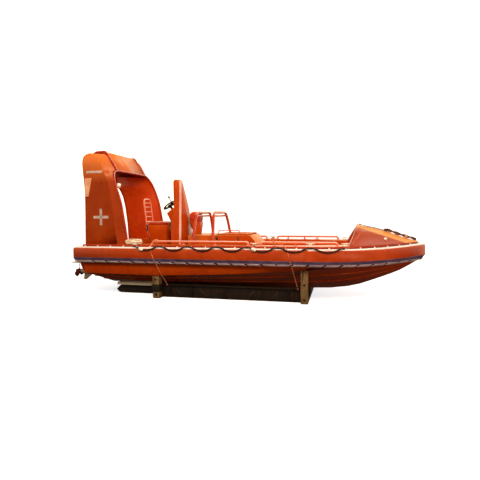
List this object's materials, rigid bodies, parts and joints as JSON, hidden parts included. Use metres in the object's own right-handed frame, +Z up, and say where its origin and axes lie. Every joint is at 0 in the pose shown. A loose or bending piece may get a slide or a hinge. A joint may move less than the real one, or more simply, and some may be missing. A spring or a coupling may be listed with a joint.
{
  "type": "open fast rescue lifeboat on a storage cradle",
  "caption": "Open orange rescue boat with a foam fender, aft tower, helm console, engine casing, covered bow and stern drive, standing on a dark cradle.",
  "frame": {"origin": "on the floor under the middle of the overall length, on the boat's centreline", "axes": "+X forward to the bow, +Y to port, +Z up"},
  "size_m": [6.84, 2.3502, 2.627],
  "materials": {
    "orange_hull": "glossy glass-reinforced plastic, weathered",
    "orange_moulding": "glossy glass-reinforced plastic, weathered",
    "orange_foam": "satin coated foam fender",
    "slate_band": "satin grey-blue rubber strip",
    "orange_tube": "gloss painted steel tube",
    "black_rubber": "matt black",
    "brown_rope": "weathered laid rope",
    "red_cushion": "coated fabric",
    "white_lens": "clear white lens",
    "drive_grey": "weathered painted aluminium",
    "propeller_red": "weathered antifouling paint",
    "engine_grey": "painted cast iron",
    "cradle_steel": "dark weathered steel",
    "cradle_post": "weathered timber",
    "timber": "sun-bleached plank"
  },
  "bodies": {
    "boat": {"aft_rail_port": "orange_tube", "aft_rail_starboard": "orange_tube", "bow_light": "white_lens", "casing_handrail": "orange_tube", "cockpit_liner": "orange_moulding", "console": "orange_moulding", "console_grab_tube": "orange_tube", "cradle_frame": "cradle_steel", "cradle_keel_plank": "timber", "cradle_post_aft_port": "cradle_post", "cradle_post_aft_starboard": "cradle_post", "cradle_post_forward_port": "cradle_post", "cradle_post_forward_starboard": "cradle_post", "cradle_stern_plank_port": "timber", "cradle_stern_plank_starboard": "timber", "engine_block": "engine_grey", "engine_casing": "orange_moulding", "fender_band_bow": "slate_band", "fender_band_port": "slate_band", "fender_band_starboard": "slate_band", "fender_bow": "orange_foam", "fender_port": "orange_foam", "fender_starboard": "orange_foam", "foredeck": "orange_moulding", "forward_rail_port": "orange_tube", "forward_rail_starboard": "orange_tube", "forward_seat_base": "orange_moulding", "forward_seat_cushion": "red_cushion", "grab_hoop_aft": "orange_tube", "grab_hoop_forward": "orange_tube", "helm_backrest": "orange_tube", "helm_seat_base": "orange_moulding", "helm_seat_cushion": "red_cushion", "hull": "orange_hull", "lifeline_port": "brown_rope", "lifeline_starboard": "brown_rope", "steering_column": "black_rubber", "throttle": "black_rubber", "tower_leg_port": "orange_moulding", "tower_leg_starboard": "orange_moulding", "tower_roof": "orange_moulding", "transom_shield": "drive_grey"},
    "drive_swivel": {"drive_gimbal": "drive_grey"},
    "drive": {"drive_leg": "drive_grey"},
    "propeller": {"propeller": "propeller_red"},
    "helm_wheel": {"steering_wheel": "black_rubber"},
    "engine_hatch": {"engine_lid": "orange_moulding"}
  },
  "joints": [
    {"name": "drive_steer", "type": "hinge", "parent": "boat", "child": "drive_swivel", "pos_m": [-2.57, 0, 0.6], "axis": [0, 0, 1], "range_deg": [-28, 28]},
    {"name": "drive_tilt", "type": "hinge", "parent": "drive_swivel", "child": "drive", "pos_m": [-2.635, 0, 0.63], "axis": [0, 1, 0], "range_deg": [-4, 42]},
    {"name": "propeller_spin", "type": "hinge", "parent": "drive", "child": "propeller", "pos_m": [-3.27, 0, 0.29], "axis": [1, 0, 0], "continuous": true},
    {"name": "wheel_turn", "type": "hinge", "parent": "boat", "child": "helm_wheel", "pos_m": [-1.22, 0, 1.63], "axis": [0.6018, 0, -0.7986], "range_deg": [-540, 540]},
    {"name": "hatch_hinge", "type": "hinge", "parent": "boat", "child": "engine_hatch", "pos_m": [0.455, 0, 1.088], "axis": [0, 1, 0], "range_deg": [0, 75]}
  ],
  "couplings": [
    {"joint": "wheel_turn", "follows": "drive_steer", "ratio": 19.286}
  ]
}
